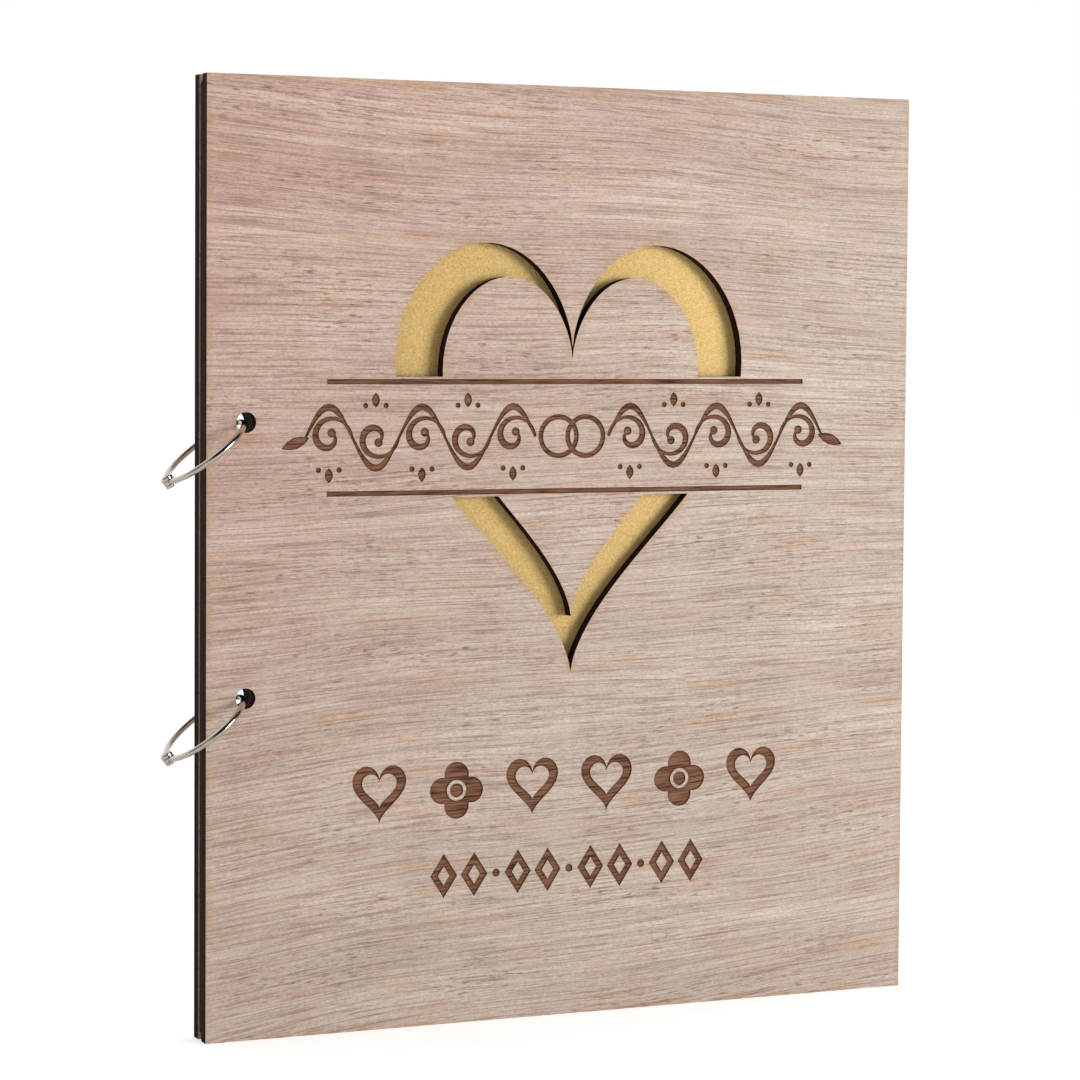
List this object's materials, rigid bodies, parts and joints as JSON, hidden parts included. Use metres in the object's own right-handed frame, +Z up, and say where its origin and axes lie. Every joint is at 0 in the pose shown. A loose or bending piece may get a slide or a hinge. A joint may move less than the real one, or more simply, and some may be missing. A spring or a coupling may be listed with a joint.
{
  "type": "wedding guest book",
  "caption": "Ring-bound wedding guest book: thin plywood covers with a split-heart cut-out over a gold card and loose punched card leaves on hinged wire rings.",
  "frame": {"origin": "on the back cover's underside, in the middle of its width and of its thickness", "axes": "+X from the spine edge to the fore-edge, +Z up the book's height, +Y from the front cover to the back cover"},
  "size_m": [0.2422, 0.0291, 0.28],
  "materials": {
    "plywood": "bare sanded plywood, laser cut and engraved",
    "gold_card": "glitter-coated card",
    "black_card": "matt dark brown card, uncoated",
    "nickel_wire": "polished nickel plating",
    "rivet_steel": "plain steel rivet"
  },
  "bodies": {
    "back_board": {"back_cover": "plywood"},
    "front_board": {"front_cover": "plywood", "gold_card": "gold_card"},
    "leaf_1_sheet": {"leaf_1": "black_card"},
    "leaf_2_sheet": {"leaf_2": "black_card"},
    "leaf_3_sheet": {"leaf_3": "black_card"},
    "leaf_4_sheet": {"leaf_4": "black_card"},
    "leaf_5_sheet": {"leaf_5": "black_card"},
    "leaf_6_sheet": {"leaf_6": "black_card"},
    "leaf_7_sheet": {"leaf_7": "black_card"},
    "leaf_8_sheet": {"leaf_8": "black_card"},
    "leaf_9_sheet": {"leaf_9": "black_card"},
    "leaf_10_sheet": {"leaf_10": "black_card"},
    "leaf_11_sheet": {"leaf_11": "black_card"},
    "leaf_12_sheet": {"leaf_12": "black_card"},
    "ring_upper": {"ring_upper_front_half": "nickel_wire", "ring_upper_back_half": "nickel_wire", "ring_upper_rivet": "rivet_steel"},
    "ring_lower": {"ring_lower_front_half": "nickel_wire", "ring_lower_back_half": "nickel_wire", "ring_lower_rivet": "rivet_steel"}
  },
  "joints": [
    {"name": "cover_open", "type": "hinge", "parent": "back_board", "child": "front_board", "pos_m": [-0.1154, -0.0035, 0], "axis": [0, 0, -1], "range_deg": [0, 148]},
    {"name": "leaf_1_turn", "type": "hinge", "parent": "back_board", "child": "leaf_1_sheet", "pos_m": [-0.1154, -0.0035, 0], "axis": [0, 0, -1], "range_deg": [0, 147.34]},
    {"name": "leaf_2_turn", "type": "hinge", "parent": "back_board", "child": "leaf_2_sheet", "pos_m": [-0.1154, -0.0035, 0], "axis": [0, 0, -1], "range_deg": [0, 146.68]},
    {"name": "leaf_3_turn", "type": "hinge", "parent": "back_board", "child": "leaf_3_sheet", "pos_m": [-0.1154, -0.0035, 0], "axis": [0, 0, -1], "range_deg": [0, 146.01]},
    {"name": "leaf_4_turn", "type": "hinge", "parent": "back_board", "child": "leaf_4_sheet", "pos_m": [-0.1154, -0.0035, 0], "axis": [0, 0, -1], "range_deg": [0, 145.35]},
    {"name": "leaf_5_turn", "type": "hinge", "parent": "back_board", "child": "leaf_5_sheet", "pos_m": [-0.1154, -0.0035, 0], "axis": [0, 0, -1], "range_deg": [0, 144.68]},
    {"name": "leaf_6_turn", "type": "hinge", "parent": "back_board", "child": "leaf_6_sheet", "pos_m": [-0.1154, -0.0035, 0], "axis": [0, 0, -1], "range_deg": [0, 144.01]},
    {"name": "leaf_7_turn", "type": "hinge", "parent": "back_board", "child": "leaf_7_sheet", "pos_m": [-0.1154, -0.0035, 0], "axis": [0, 0, -1], "range_deg": [0, 4.01]},
    {"name": "leaf_8_turn", "type": "hinge", "parent": "back_board", "child": "leaf_8_sheet", "pos_m": [-0.1154, -0.0035, 0], "axis": [0, 0, -1], "range_deg": [0, 3.34]},
    {"name": "leaf_9_turn", "type": "hinge", "parent": "back_board", "child": "leaf_9_sheet", "pos_m": [-0.1154, -0.0035, 0], "axis": [0, 0, -1], "range_deg": [0, 2.67]},
    {"name": "leaf_10_turn", "type": "hinge", "parent": "back_board", "child": "leaf_10_sheet", "pos_m": [-0.1154, -0.0035, 0], "axis": [0, 0, -1], "range_deg": [0, 2.01]},
    {"name": "leaf_11_turn", "type": "hinge", "parent": "back_board", "child": "leaf_11_sheet", "pos_m": [-0.1154, -0.0035, 0], "axis": [0, 0, -1], "range_deg": [0, 1.34]},
    {"name": "leaf_12_turn", "type": "hinge", "parent": "back_board", "child": "leaf_12_sheet", "pos_m": [-0.1154, -0.0035, 0], "axis": [0, 0, -1], "range_deg": [0, 0.676]},
    {"name": "ring_upper_turn", "type": "hinge", "parent": "back_board", "child": "ring_upper", "pos_m": [-0.09742, -0.00694, 0.18077], "axis": [-0.6285, 0.6832, -0.3718], "range_deg": [0, 40.1]},
    {"name": "ring_lower_turn", "type": "hinge", "parent": "back_board", "child": "ring_lower", "pos_m": [-0.09742, -0.00694, 0.10077], "axis": [-0.6285, 0.6832, -0.3718], "range_deg": [0, 40.1]}
  ],
  "couplings": [
    {"joint": "leaf_1_turn", "follows": "cover_open", "ratio": 0.9955},
    {"joint": "leaf_2_turn", "follows": "cover_open", "ratio": 0.991},
    {"joint": "leaf_3_turn", "follows": "cover_open", "ratio": 0.9865},
    {"joint": "leaf_4_turn", "follows": "cover_open", "ratio": 0.982},
    {"joint": "leaf_5_turn", "follows": "cover_open", "ratio": 0.9775},
    {"joint": "leaf_6_turn", "follows": "cover_open", "ratio": 0.973},
    {"joint": "leaf_7_turn", "follows": "cover_open", "ratio": 0.027},
    {"joint": "leaf_8_turn", "follows": "cover_open", "ratio": 0.0225},
    {"joint": "leaf_9_turn", "follows": "cover_open", "ratio": 0.018},
    {"joint": "leaf_10_turn", "follows": "cover_open", "ratio": 0.0135},
    {"joint": "leaf_11_turn", "follows": "cover_open", "ratio": 0.009},
    {"joint": "leaf_12_turn", "follows": "cover_open", "ratio": 0.0045},
    {"joint": "ring_upper_turn", "follows": "cover_open", "ratio": 0.2699},
    {"joint": "ring_lower_turn", "follows": "cover_open", "ratio": 0.2699}
  ]
}
